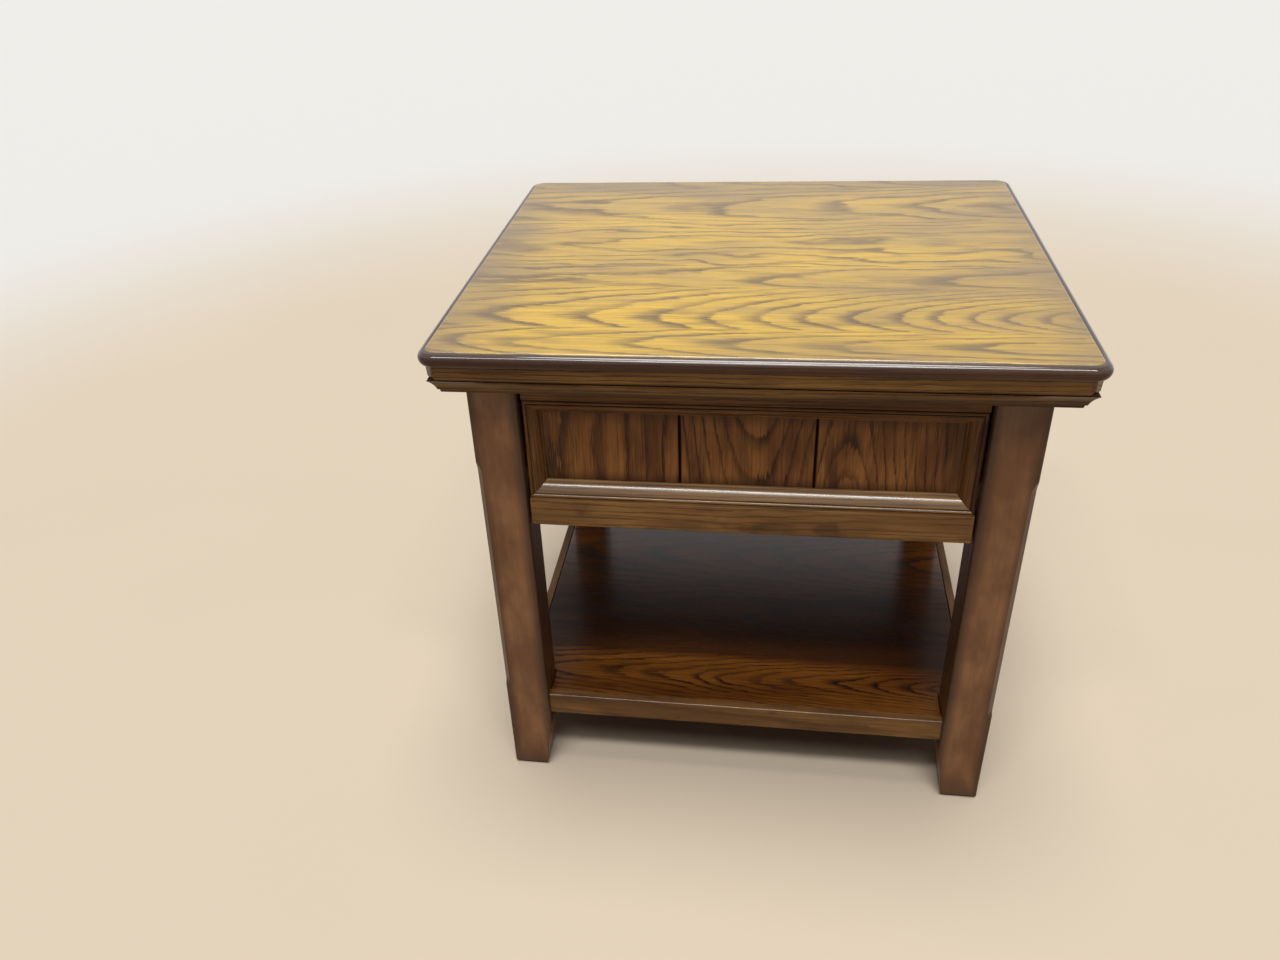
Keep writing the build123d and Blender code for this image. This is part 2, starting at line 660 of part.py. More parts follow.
for name, sx in (("left", -1), ("right", 1)):
    with BuildPart() as drawer_side:
        block(
            sorted((sx * BOX_IN, sx * BOX_HALF)),
            (BOX_FRONT_Y, BOX_BACK_Y),
            (DRAWER_BOX_BOTTOM, DRAWER_BOX_TOP),
        )
        fillet(drawer_side.faces().sort_by(Axis.Z)[-1].edges().filter_by(Axis.Y), TOP_EDGE_ROUND)
        with BuildSketch(Plane.XY.offset(groove_z[0])):
            with Locations((sx * (BOX_IN + PLY_GROOVE / 2), (BOX_FRONT_Y + BOX_BACK_Y) / 2)):
                Rectangle(PLY_GROOVE, DRAWER_BOX_DEPTH)
        extrude(amount=groove_z[1] - groove_z[0], mode=Mode.SUBTRACT)
        places = [(sx * BOX_HALF, y, SLIDE_Z) for y in RUNNER_SCREW_Y]
        rods(places, SCREW_RADIUS + FIT, 2 * RUNNER_SCREW_LENGTH, ALONG_X, Mode.SUBTRACT)
    save(drawer_side.part, f"drawer_side_{name}")

with BuildPart() as drawer_inner_front:
    block(
        (-BOX_IN, BOX_IN),
        (BOX_FRONT_Y, BOX_FRONT_Y + DRAWER_WALL),
        (DRAWER_BOX_BOTTOM, DRAWER_BOX_TOP),
    )
    with BuildSketch(Plane.XY.offset(groove_z[0])):
        with Locations((0, BOX_FRONT_Y + DRAWER_WALL - PLY_GROOVE / 2)):
            Rectangle(2 * BOX_IN, PLY_GROOVE)
    extrude(amount=groove_z[1] - groove_z[0], mode=Mode.SUBTRACT)
    countersunk(front_screw_planes, FRONT_SCREW_LENGTH, FIT, Mode.SUBTRACT)
save(drawer_inner_front.part, "drawer_inner_front")

with BuildPart() as drawer_back:
    block(
        (-BOX_IN, BOX_IN),
        (BOX_BACK_Y - DRAWER_WALL, BOX_BACK_Y),
        (groove_z[1], DRAWER_BOX_TOP),
    )
    fillet(drawer_back.faces().sort_by(Axis.Z)[-1].edges().filter_by(Axis.X), TOP_EDGE_ROUND)
save(drawer_back.part, "drawer_back")

PLY_EDGE_GAP = 0.5
with BuildPart() as drawer_bottom:
    block(
        (-BOX_IN - PLY_GROOVE + PLY_EDGE_GAP, BOX_IN + PLY_GROOVE - PLY_EDGE_GAP),
        (BOX_FRONT_Y + DRAWER_WALL - PLY_GROOVE + PLY_EDGE_GAP, BOX_BACK_Y),
        (groove_z[0] + PLY_SLACK / 2, groove_z[1] - PLY_SLACK / 2),
    )
save(drawer_bottom.part, "drawer_bottom")

with BuildPart() as drawer_front_screws:
    countersunk(front_screw_planes, FRONT_SCREW_LENGTH)
save(drawer_front_screws.part, "drawer_front_screws")

# ---------------------------------------------------------------- drawer bumpers
BUMPER_RADIUS = 5
BUMPER_CLEAR = 0.2
BUMPER_X = 170
with BuildPart() as drawer_bumpers:
    with BuildSketch(Plane.XZ.offset(-FRONT_RAIL_Y[0])):
        with Locations(*[(sx * BUMPER_X, RAIL_DOWEL_Z) for sx in BOTH]):
            Circle(BUMPER_RADIUS)
    extrude(amount=FRONT_RAIL_Y[0] - FRONT_BOARD_Y[1] - BUMPER_CLEAR)
save(drawer_bumpers.part, "drawer_bumpers")

# ---------------------------------------------------------------- ball-bearing slides
SLIDE_HALF = 17.5         # half the channel's height
CHANNEL_REACH = 10        # from the leg's face to the channel's lips
CHANNEL_LIP = 1
RUNNER_HALF = 11.2
RUNNER_REACH = 9.2
BALL_RADIUS = 2.2
BALL_OFF = 13.75          # ball centres above and below the slide's middle
BALL_DEPTH = 6.5          # from the leg's face
CAGE_LENGTH = 100
CAGE_WALL = 0.8
CAGE_NEAR = 2
CAGE_FAR = 9
CAGE_HALF = 14.15
BALL_COUNT = 8
BALL_PITCH = 12.5
BALL_HOLE = 2.4
RUNNER_HOLE = 5           # length of the cut for each screw through the runner
SLIDE_Y = (BOX_FRONT_Y + SLIDE_SETBACK, BOX_FRONT_Y + SLIDE_SETBACK + SLIDE_LENGTH)
slide_mid = (SLIDE_Y[0] + SLIDE_Y[1]) / 2
BATTEN_HEIGHT = 44

for name, sx in (("left", -1), ("right", 1)):
    # Sections are drawn looking along the slide: u runs in from the leg, v up from the middle.
    def spot(u, v):
        """A point of the section, in the plane across the slide."""
        return (sx * (LEG_IN_X - u), SLIDE_Z + v)

    def bar(u0, u1, v0, v1, mode=Mode.ADD):
        """A rectangle of the section."""
        corners = [spot(u0, v0), spot(u1, v0), spot(u1, v1), spot(u0, v1)]
        Polygon(*corners, align=None, mode=mode)

    with BuildPart() as slide_channel:
        with BuildSketch(Plane.XZ.offset(-SLIDE_Y[0])):
            inner = SLIDE_HALF - CHANNEL_WALL
            bar(0, CHANNEL_REACH, -SLIDE_HALF, SLIDE_HALF)
            bar(CHANNEL_WALL, CHANNEL_REACH - 1, -inner, inner, Mode.SUBTRACT)
            bar(
                CHANNEL_REACH - 1,
                CHANNEL_REACH,
                CHANNEL_LIP - inner,
                inner - CHANNEL_LIP,
                Mode.SUBTRACT,
            )
        extrude(amount=-SLIDE_LENGTH)
        countersunk(channel_screw_planes(sx), CHANNEL_SCREW_LENGTH, FIT, Mode.SUBTRACT)
    save(slide_channel.part, f"slide_channel_{name}")

    with BuildPart() as slide_runner:
        with BuildSketch(Plane.XZ.offset(-SLIDE_Y[0])):
            hollow = RUNNER_HALF - CHANNEL_WALL
            bar(SLIDE_THICK - RUNNER_REACH, SLIDE_THICK, -RUNNER_HALF, RUNNER_HALF)
            bar(
                SLIDE_THICK - RUNNER_REACH,
                SLIDE_THICK - CHANNEL_WALL,
                -hollow,
                hollow,
                Mode.SUBTRACT,
            )
        extrude(amount=-SLIDE_LENGTH)
        places = [(sx * (LEG_IN_X - SLIDE_THICK), y, SLIDE_Z) for y in RUNNER_SCREW_Y]
        rods(places, SCREW_RADIUS + FIT, RUNNER_HOLE, ALONG_X, Mode.SUBTRACT)
    save(slide_runner.part, f"slide_runner_{name}")

    ball_y = [slide_mid + (i - (BALL_COUNT - 1) / 2) * BALL_PITCH for i in range(BALL_COUNT)]
    ball_x = sx * (LEG_IN_X - BALL_DEPTH)
    with BuildPart() as ball_cage:
        with BuildSketch(Plane.XZ.offset(-slide_mid)):
            inside = CAGE_HALF - CAGE_WALL
            bar(CAGE_NEAR, CAGE_FAR, -CAGE_HALF, CAGE_HALF)
            bar(CAGE_NEAR + CAGE_WALL, CAGE_FAR, -inside, inside, Mode.SUBTRACT)
        extrude(amount=CAGE_LENGTH / 2, both=True)
        with Locations(*[(ball_x, y, SLIDE_Z) for y in ball_y]):
            Cylinder(BALL_HOLE, 2 * SLIDE_HALF, mode=Mode.SUBTRACT)
    save(ball_cage.part, f"ball_cage_{name}")

    with BuildPart() as slide_balls:
        with Locations(*[(ball_x, y, SLIDE_Z + v) for y in ball_y for v in (-BALL_OFF, BALL_OFF)]):
            Sphere(BALL_RADIUS)
    save(slide_balls.part, f"slide_balls_{name}")

    with BuildPart() as slide_batten:
        block(
            sorted((sx * LEG_IN_X, sx * APRON_IN_X)),
            (-LEG_IN_Y, LEG_IN_Y),
            (SLIDE_Z - BATTEN_HEIGHT / 2, SLIDE_Z + BATTEN_HEIGHT / 2),
        )
        countersunk(channel_screw_planes(sx), CHANNEL_SCREW_LENGTH, FIT, Mode.SUBTRACT)
    save(slide_batten.part, f"slide_batten_{name}")

with BuildPart() as channel_screws:
    for sx in BOTH:
        countersunk(channel_screw_planes(sx), CHANNEL_SCREW_LENGTH)
save(channel_screws.part, "channel_screws")

RUNNER_HEAD_RADIUS = 3.5
RUNNER_HEAD_HEIGHT = 2
with BuildPart() as runner_screws:
    for sx in BOTH:
        inner_web = LEG_IN_X - SLIDE_THICK + CHANNEL_WALL
        head_mid = inner_web + RUNNER_HEAD_HEIGHT / 2
        heads = [(sx * head_mid, y, SLIDE_Z) for y in RUNNER_SCREW_Y]
        rods(heads, RUNNER_HEAD_RADIUS, RUNNER_HEAD_HEIGHT, ALONG_X)
        shank_mid = inner_web - RUNNER_SCREW_LENGTH / 2
        shanks = [(sx * shank_mid, y, SLIDE_Z) for y in RUNNER_SCREW_Y]
        rods(shanks, SCREW_RADIUS, RUNNER_SCREW_LENGTH, ALONG_X)
save(runner_screws.part, "runner_screws")
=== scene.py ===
# %% [markdown]
# # A side table with one drawer, finished in Blender
#
# The table arrives as a imported CAD model: 59 named parts, each already in its place, in
# metres. Nothing here moves a part. This lesson gives every part a finish, stands the
# table on a pale floor, and lights it softly.
#
# The finishes are chosen so that the table looks right in one bright, even room. Where
# a tone or a gloss stands in for a shadow or a highlight of that room, the text beside it
# says so. In other light such a tone shows as a difference in stain.

# %% Load the frame
import json
import math

import bpy
from mathutils import Matrix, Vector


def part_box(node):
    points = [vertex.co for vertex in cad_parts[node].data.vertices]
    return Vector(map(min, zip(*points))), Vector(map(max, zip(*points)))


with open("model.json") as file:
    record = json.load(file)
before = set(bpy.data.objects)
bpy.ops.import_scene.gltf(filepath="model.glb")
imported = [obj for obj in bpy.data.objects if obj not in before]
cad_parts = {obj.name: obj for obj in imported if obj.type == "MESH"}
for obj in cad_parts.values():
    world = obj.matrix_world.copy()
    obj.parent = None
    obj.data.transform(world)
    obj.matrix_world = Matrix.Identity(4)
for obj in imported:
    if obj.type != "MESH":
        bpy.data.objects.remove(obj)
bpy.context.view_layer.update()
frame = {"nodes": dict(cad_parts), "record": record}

nodes = frame["nodes"]

# %% [markdown]
# ## Smooth curves, crisp arrises
#
# A CAD mesh is made of loose triangles, so a rounded nosing shows its facets. One cure
# is to model the rounding again with more faces. A cheaper one is used here: a Weld
# modifier joins the triangles, Edge Split keeps the true arrises sharp, and Weighted
# Normal lets the big flat faces stay flat while the small roundings between them turn
# softly. A leg has a chamfer at 45 degrees that must stay crisp, so its limit is lower.
# The parts themselves stay exactly as they were drawn.

# %% Weld, split and shade the parts
WELD_GAP = 0.00001
ARRIS_ANGLE = math.radians(50)
LEG_ARRIS_ANGLE = math.radians(28)
FLAT_WEIGHT = 100


def smooth_part(part, arris_angle):
    """Joins the part's triangles and keeps its sharp arrises, with live modifiers."""
    weld = part.modifiers.new("join triangles", "WELD")
    weld.merge_threshold = WELD_GAP
    split = part.modifiers.new("keep arrises", "EDGE_SPLIT")
    split.split_angle = arris_angle
    split.use_edge_sharp = False
    flat = part.modifiers.new("keep flats flat", "WEIGHTED_NORMAL")
    flat.mode = "FACE_AREA"
    flat.weight = FLAT_WEIGHT
    part.data.polygons.foreach_set("use_smooth", [True] * len(part.data.polygons))


for name, part in nodes.items():
    smooth_part(part, LEG_ARRIS_ANGLE if name.startswith("leg_") else ARRIS_ANGLE)
print("smoothed", len(nodes), "parts")

# %% [markdown]
# ## The camera
#
# The viewer stands before the middle of the table, is turned a little to the left, and
# looks down at it by about 32 degrees with a wide lens. The camera is turned in three
# steps, as on a tripod head: pan, tilt, then a slight roll. It is made first, so that
# every finish can be judged from where the table is seen.

# %% Camera on its tripod
EYE = (0.0232, -1.1837, 1.0456)
PAN_LEFT, TILT_DOWN, ROLL = 10.426, 32.213, -3.428
LENS_MM, SENSOR_MM = 29.316, 36
SHIFT_RIGHT, SHIFT_UP = 0.0261, -0.0007

camera_data = bpy.data.cameras.new("view_camera")
camera_data.lens = LENS_MM
camera_data.sensor_width = SENSOR_MM
camera_data.shift_x, camera_data.shift_y = SHIFT_RIGHT, SHIFT_UP
camera_data.clip_start = 0.05
camera = bpy.data.objects.new("view_camera", camera_data)
bpy.context.scene.collection.objects.link(camera)
camera.matrix_world = (
    Matrix.Translation(EYE)
    @ Matrix.Rotation(math.radians(PAN_LEFT), 4, "Z")
    @ Matrix.Rotation(math.radians(90 - TILT_DOWN), 4, "X")
    @ Matrix.Rotation(math.radians(ROLL), 4, "Z")
)
bpy.context.scene.camera = camera
bpy.context.scene.view_settings.view_transform = "Standard"
print("camera at", EYE)

# %% [markdown]
# ## Writing a finish as arithmetic
#
# A wood finish is mostly sums: how far a point is from the heart of the tree, how many
# growth rings that is, how dark the ring is there. Wiring dozens of Math nodes by hand
# hides those sums. So one small class wraps a socket and lets `a * b + 1` add the nodes,
# and its `node` method makes every other kind of node.


# %% A socket that can be used in sums
class Field:
    """A value that changes over a surface: one socket of a finish's node tree."""

    def __init__(self, tree, socket=None):
        self.tree, self.socket = tree, socket

    def node(self, kind, settings=None, sockets=None, out=0):
        """Adds a node, sets its settings, fills or links its sockets, gives one output."""
        made = self.tree.nodes.new(kind)
        for name, value in (settings or {}).items():
            setattr(made, name, value)
        for key, value in (sockets or {}).items():
            if isinstance(value, Field):
                self.tree.links.new(value.socket, made.inputs[key])
            else:
                made.inputs[key].default_value = value
        return Field(self.tree, made.outputs[out])

    def sum_node(self, operation, first, second=0.0):
        return self.node("ShaderNodeMath", {"operation": operation}, {0: first, 1: second})

    def __add__(self, other):
        return self.sum_node("ADD", self, other)

    def __sub__(self, other):
        return self.sum_node("SUBTRACT", self, other)

    def __rsub__(self, other):
        return self.sum_node("SUBTRACT", other, self)

    def __mul__(self, other):
        return self.sum_node("MULTIPLY", self, other)

    def __truediv__(self, other):
        return self.sum_node("DIVIDE", self, other)

    def __pow__(self, power):
        return self.sum_node("POWER", self, power)

    def __abs__(self):
        return self.sum_node("ABSOLUTE", self)

    __radd__, __rmul__ = __add__, __mul__

    def at_least(self, other):
        return self.sum_node("MAXIMUM", self, other)

    def at_most(self, other):
        return self.sum_node("MINIMUM", self, other)

    def fraction(self):
        return self.sum_node("FRACT", self)

    def fade(self, start, end):
        """0 below start, 1 past end, eased between; a start above the end turns it round."""
        turned = start > end
        low, high = (end, start) if turned else (start, end)
        return self.node(
            "ShaderNodeMapRange",
            {"interpolation_type": "SMOOTHSTEP"},
            {0: self, 1: low, 2: high, 3: float(turned), 4: float(not turned)},
        )


print("fields are ready")

# %% [markdown]
# ## Noise that follows the grain
#
# Everything in a board is long along the grain and short across it. A noise pattern gets
# that shape when the place is stretched before the noise reads it: the frequency along
# the board is small and the frequency across it is large.

# %% Places, stretched noise and colour blends
AXES = {"x": 0, "y": 1, "z": 2}


def places(tree):
    """The place of a point of the part, as three fields in metres."""
    start = Field(tree)
    spot = start.node("ShaderNodeTexCoord", out="Object")
    return [
        start.node("ShaderNodeSeparateXYZ", None, {0: spot}, out=axis)
        for axis in ("X", "Y", "Z")
    ]


def grain_noise(along, across, depth, per_metre, detail=3.0, roughness=0.55, shift=0.0):
    """Noise from 0 to 1 with its own frequency along, across and into the board."""
    spot = along.node(
        "ShaderNodeCombineXYZ",
        None,
        {
            0: along * per_metre[0] + shift,
            1: across * per_metre[1] + shift,
            2: depth * per_metre[2],
        },
    )
    return along.node(
        "ShaderNodeTexNoise",
        None,
        {"Vector": spot, "Scale": 1.0, "Detail": detail, "Roughness": roughness},
    )


def blend(amount, first, second):
    """A colour between two colours, each a triple or a field."""

    def paint(colour):
        return colour if isinstance(colour, Field) else (*colour, 1.0)

    return amount.node(
        "ShaderNodeMix",
        {"data_type": "RGBA"},
        {0: amount, 6: paint(first), 7: paint(second)},
        out=2,
    )


def stepped(place, seams, values):
    """A value that changes at each seam, as from one veneer leaf to the next."""
    total = values[0]
    for seam, before, after in zip(seams, values, values[1:]):
        total = place.fade(seam - 0.0003, seam + 0.0003) * (after - before) + total
    return total


print("noise, blends and steps are ready")

# %% [markdown]
# ## How oak gets its figure
#
# A tree is a stack of thin cones, one for each year. A board cuts through them, and
# where the cut meets a cone it shows an arch, with arms that run out into straight
# lines. The arches could be painted one by one. They look better when the tree is
# rebuilt: `heart` is where the tree's middle lies across the board, `deep` how far
# under the surface it is, and `climb` how fast the board rises out of the cones. The
# distance from the heart, divided by the width of a ring, then says which year it is.


# %% Growth rings through a board
WANDER_WAVES = (5.0, 14.0, 6.0)     # waves in a metre along, across and into the board
RIPPLE_WAVES = (22.0, 90.0, 30.0)


def growth_rings(
    along, across, depth, *, deep, climb, bend, ring, stir, pinch=1.0, shake=0.45
):
    """The year that a point grew in, and how far out on an arch's arm it lies, 0 to 1.

    climb and bend lift the board out of the cones, and a pinch over 1 makes the arches
    narrower. stir and shake say by how many years the rings wander and ripple.
    """
    wander = grain_noise(along, across, depth, WANDER_WAVES, 2.0) - 0.5
    ripple = grain_noise(along, across, depth, RIPPLE_WAVES, 2.0, shift=4.0) - 0.5
    under = deep - along * climb - along * along * bend
    side = across * pinch
    away = (side * side + under * under) ** 0.5
    return away / ring + wander * stir + ripple * shake, abs(side) / away


print("growth rings are ready")

# %% [markdown]
# ## Early wood and pores
#
# Oak opens each year with a band of wide vessels, which takes up more stain than the
# dense wood after it. The band starts at once and dies away slowly, so it is made from
# the part of the year that has passed. It is broad at the tip of an arch and thin on its
# arms. The vessels themselves show as fine dashes, thousands to a board.

# %% Dark bands and dashes
FRAY_WAVES = (30.0, 800.0, 400.0)
BOLD_WAVES = (8.0, 34.0, 12.0)
PORE_WAVES = (70.0, 1900.0, 900.0)
TIP_BAND, ARM_LOSS = 0.60, 0.30     # the band's part of a year, and how much the arms lose


def early_wood(years, arm, along, across, depth):
    """1 on the dark porous band that opens a ring, less where the band is faint."""
    fray = grain_noise(along, across, depth, FRAY_WAVES, 2.0, shift=9.0) - 0.5
    bold = grain_noise(along, across, depth, BOLD_WAVES, 2.0, shift=17.0)
    part_of_year = (years + fray * 0.50).fraction()
    band = part_of_year / (TIP_BAND - arm * ARM_LOSS)
    strength = bold.fade(0.30, 0.60) * 0.50 + 0.50
    return part_of_year.fade(0.0, 0.06) * band.fade(1.0, 0.12) * strength


def pores(along, across, depth):
    """Fine dashes: the open vessels of oak, cut along their length."""
    dashes = grain_noise(along, across, depth, PORE_WAVES, 1.0, shift=2.0)
    return dashes.fade(0.56, 0.70)


print("early wood and pores are ready")

# %% [markdown]
# ## One recipe for every stained board
#
# Each board is coloured in the order in which a finisher works: bare wood between light
# and dark, the ring figure, the stain that sits in the pores, a darker tone, and a clear
# lacquer. Each finish below says what its darker tone stands for: stain, painted shade,
# or, on the top, painted sheen. The lacquer is the part that shines; it fills the pores
# only partly, which is why they still show as tiny dents under the light.


# %% The stained board recipe
PATCH_WAVES = (4.5, 16.0, 16.0)     # waves in a metre along, across and into the board
SMOKE_WAVES = (7.0, 38.0, 38.0)
FIBRE_WAVES = (16.0, 420.0, 420.0)
HAIR_WAVES = (7.0, 560.0, 560.0)


def new_finish(name):
    """An empty finish and its main shader."""
    finish = bpy.data.materials.new(name)
    finish.use_nodes = True
    return finish, finish.node_tree, finish.node_tree.nodes["Principled BSDF"]


def set_shader(shader, constants=None, **fields):
    """Links fields to the shader's sockets and sets its plain numbers."""
    for name, field in fields.items():
        socket = shader.inputs[name.replace("_", " ")]
        field.tree.links.new(field.socket, socket)
    for name, value in (constants or {}).items():
        shader.inputs[name].default_value = value


def stained_board(name, look, grain, figure, shade=None, polish=None):
    """A finish for boards whose grain runs along the axis that is named.

    figure(along, across, depth, x, y, z) gives the years and the place on the arches, and
    shade(x, y, z) gives how much of the look's shade colour lies on the place, from 0 to
    1; that colour is stain on some boards and painted shade on others. polish(x, y, z)
    gives how full the coat of lacquer is; without it, it is even. In the look, figure,
    smoke, streak and pore say how strongly each mark shows, dent how deep it is in metres,
    and shine and lacquer how glossy the wood and its coat are.
    """
    finish, tree, shader = new_finish(name)
    x, y, z = places(tree)
    along, across, depth = [(x, y, z)[AXES[axis]] for axis in grain]
    early = early_wood(*figure(along, across, depth, x, y, z), along, across, depth)
    vessel = pores(along, across, depth)
    patches = look.get("patches", PATCH_WAVES)
    cloud = grain_noise(along, across, depth, patches, 3.0, shift=6.0)
    smoke = grain_noise(along, across, depth, SMOKE_WAVES, 3.0, shift=14.0)
    fibre = grain_noise(along, across, depth, FIBRE_WAVES, 2.0, shift=1.0)
    hair = grain_noise(along, across, depth, HAIR_WAVES, 2.0, shift=21.0)

    wood = blend(cloud.fade(0.34, 0.68), look["light"], look["warm"])
    wood = blend(smoke.fade(0.52, 0.74) * look["smoke"], wood, look["dark"])
    wood = blend(early * look["figure"], wood, look["dark"])
    wood = blend(fibre.fade(0.42, 0.75) * look["streak"], wood, look["dark"])
    wood = blend(hair.fade(0.58, 0.68) * look["streak"] * 1.2, wood, look["dark"])
    wood = blend(vessel * (early * 0.7 + 0.3) * look["pore"], wood, look["pores"])
    if shade is not None:
        wood = blend(shade(x, y, z), wood, look["shade"])

    gloss = fibre * 0.06 + vessel * 0.10 + cloud * 0.05 + early * 0.10 + look["rough"]
    height = fibre * 0.25 - vessel * (early * 0.6 + 0.4) - early * 0.25
    bump = height.node(
        "ShaderNodeBump", None, {"Strength": 0.5, "Distance": look["dent"], "Height": height}
    )
    set_shader(
        shader,
        {
            "Specular IOR Level": look["shine"],
            "Coat Weight": look["lacquer"],
            "Coat Roughness": look["lacquer rough"],
        },
        Base_Color=wood,
        Roughness=gloss,
        Normal=bump,
    )
    if polish is not None:
        set_shader(shader, Coat_Weight=polish(x, y, z) * look["lacquer"])
    return finish


finishes = {}
print("the board recipe is ready")

# %% [markdown]
# ## The table top
#
# The top is veneered with five leaves of flat-sawn oak whose grain runs from side to
# side. The two front leaves show rows of arches that point to the left; the ones behind
# are nearly straight, with long dark eyes, and the back is broad and soft. The stain is
# golden. Each list below gives one value of the tree for each strip, from front to back.

# %% Veneer leaves of the top
LEAF_SEAMS = (-0.2175, -0.1080, -0.0430, 0.1180, 0.2480)
LEAF_HEART = (-0.2520, -0.1830, -0.0820, 0.0300, 0.1650, 0.2950)
LEAF_DEEP = (0.0420, 0.0760, 0.0500, 0.0420, 0.0600, 0.0550)
LEAF_CLIMB = (0.0560, 0.1200, 0.0300, 0.0160, 0.0420, 0.0300)
LEAF_BEND = (-0.0400, 0.1100, 0.0200, 0.0100, 0.0300, 0.0200)
LEAF_PINCH = (1.0, 0.85, 0.8, 0.6, 0.6, 0.7)
LEAF_STIR = (1.5, 1.2, 2.0, 4.2, 2.2, 3.4)
LEAF_RING = 0.0062                  # the width of one year, in metres


def top_figure(along, across, depth, x, y, z):
    """Years over the five leaves and the strip behind them."""

    def leaf(values):
        return stepped(y, LEAF_SEAMS, values)

    return growth_rings(
        x,
        y - leaf(LEAF_HEART),
        y,
        deep=leaf(LEAF_DEEP),
        climb=leaf(LEAF_CLIMB),
        bend=leaf(LEAF_BEND),
        pinch=leaf(LEAF_PINCH),
        ring=LEAF_RING,
        stir=leaf(LEAF_STIR),
    )


print("the top has", len(LEAF_HEART), "strips of veneer")

# %% [markdown]
# ## Tone, painted sheen and polish on the top
#
# The top is toned darker at its two ends and along its front edge than in its middle,
# and soft patches float over all of it. The greyer, darker tone at the back and over the
# right half is painted sheen: it stands in for the room's light on the lacquer. Part of
# that may be uneven stain and part the light of the room. Each tone is a slow fade over
# the board, and the strongest of them wins. The coat is set thin on the face and fuller
# on the rounded edge, so that it draws a bright line there.

# %% Top finish
board_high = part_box("top_board")[1]
BOARD_ARRIS = 0.002
EDGE_BLUR = 0.0005
MIST_WAVES = (5.0, 22.0, 1.0)
# The tones at the back and on the right half are painted sheen; the others only darken.
END_TONE = (0.225, 0.325)          # where a tone starts to show, and where it is full
BACK_SHEEN = (0.130, 0.284)
REAR_SHEEN = (-0.10, 0.26)
RIGHT_SHEEN = (-0.02, 0.30)
FRONT_TONE = (-0.262, -0.284)
TOP_TONE = 0.68                    # how strong all of them are


def past_edge(place, edge):
    """1 where a place, to either side, lies beyond an edge."""
    return abs(place).fade(edge - EDGE_BLUR, edge + EDGE_BLUR)


def top_polish(x, y, z):
    """A fuller coat on the rounded edge, for a bright line; a thin one on the face."""
    front_back = past_edge(y, board_high.y - BOARD_ARRIS)
    ends = past_edge(x, board_high.x - BOARD_ARRIS) * 0.35
    return front_back.at_least(ends) * 0.85 + 0.15


def top_shade(x, y, z):
    """Darker ends and front edge, painted sheen at the back and right, and soft patches."""
    patch = grain_noise(x, y, z, MIST_WAVES, 3.0, shift=12.0)
    ends = abs(x).fade(*END_TONE) * (patch * 0.5 + 0.65)
    back = y.fade(*BACK_SHEEN) * 0.95
    rear = (y + x * 0.35).fade(*REAR_SHEEN) * (patch * 0.5 + 0.30)
    right = x.fade(*RIGHT_SHEEN) * (patch * 0.6 + 0.20)
    front = y.fade(*FRONT_TONE) * 0.35
    strongest = ends.at_least(back).at_least(rear).at_least(right).at_least(front)
    return (strongest + patch.fade(0.44, 0.70) * 0.36) * TOP_TONE


finishes["top_veneer"] = stained_board(
    "top veneer",
    {
        "light": (0.840, 0.520, 0.036),
        "warm": (0.620, 0.390, 0.060),
        "dark": (0.095, 0.058, 0.032),
        "pores": (0.055, 0.030, 0.014),
        "shade": (0.240, 0.165, 0.100),
        "figure": 0.84,
        "smoke": 0.46,
        "streak": 0.36,
        "pore": 0.60,
        "rough": 0.18,
        "dent": 0.00007,
        "shine": 0.40,
        "lacquer": 1.0,
        "lacquer rough": 0.08,
    },
    ("x", "y", "z"),
    top_figure,
    top_shade,
    top_polish,
)
print("made", finishes["top_veneer"].name)

# %% [markdown]
# ## The nosing, the fascia and the cornice
#
# Solid mouldings run round the top, with their grain along their own length, so the
# front and back pieces need a finish that runs along X and the side pieces one along Y.
# They are toned much darker than the veneer, almost walnut. The coat is full on the
# nosing's upper shoulder alone, so that a bright line runs there. The dark line under
# the fascia and the darker tone on the cornice and its foot stand in for shadow: they
# help the hollow to read in this even light.

# %% Straight grain for solid mouldings and rails
cornice_low, cornice_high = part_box("cornice_front")
nosing_low, nosing_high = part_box("top_nosing_front")
CORNICE_FOOT, CORNICE_HEAD = cornice_low.z, cornice_high.z
QUIRK_Z = CORNICE_HEAD - 0.0007     # the thin hollow line under the fascia
SHOULDER = (nosing_high.z - 0.0056, nosing_high.z - 0.0018)
MOULDING_RING, MOULDING_STIR = 0.0040, 2.2

DARK_LOOK = {
    "light": (0.235, 0.118, 0.032),
    "warm": (0.125, 0.056, 0.016),
    "dark": (0.022, 0.008, 0.003),
    "pores": (0.022, 0.009, 0.004),
    "shade": (0.030, 0.012, 0.005),
    "figure": 0.80,
    "smoke": 0.50,
    "streak": 0.45,
    "pore": 0.55,
    "rough": 0.10,
    "dent": 0.00006,
    "shine": 0.12,
    "lacquer": 0.0,
    "lacquer rough": 0.10,
}
NOSING_LOOK = dict(
    DARK_LOOK,
    light=(0.075, 0.030, 0.010),
    warm=(0.050, 0.018, 0.007),
    dark=(0.016, 0.005, 0.003),
    shine=0.20,
    lacquer=1.0,
)
NOSING_LOOK["lacquer rough"] = 0.05


def straight_figure(ring, stir):
    """A rift-sawn piece: rings that run nearly parallel to its length."""

    def figure(along, across, depth, x, y, z):
        slant = across + depth * 0.7
        return growth_rings(
            along, slant, depth, deep=0.30, climb=0.012, bend=0.01, ring=ring, stir=stir
        )

    return figure


def shoulder_polish(x, y, z):
    """The nosing's upper shoulder shines, at the front most of all."""
    reached = y.fade(nosing_low.y + 0.050, nosing_low.y + 0.005) * 0.60 + 0.40
    return z.fade(*SHOULDER) * reached


def foot_shade(x, y, z):
    """Painted shade: a darker cornice and foot, and a dark line under the fascia."""
    cornice = z.fade(CORNICE_HEAD, CORNICE_HEAD - 0.0020) * 0.25
    foot = z.fade(CORNICE_FOOT + 0.0080, CORNICE_FOOT + 0.0005) * 0.65
    quirk = abs(z - QUIRK_Z).fade(0.0030, 0.0012) * 0.75
    return cornice.at_least(foot).at_least(quirk)


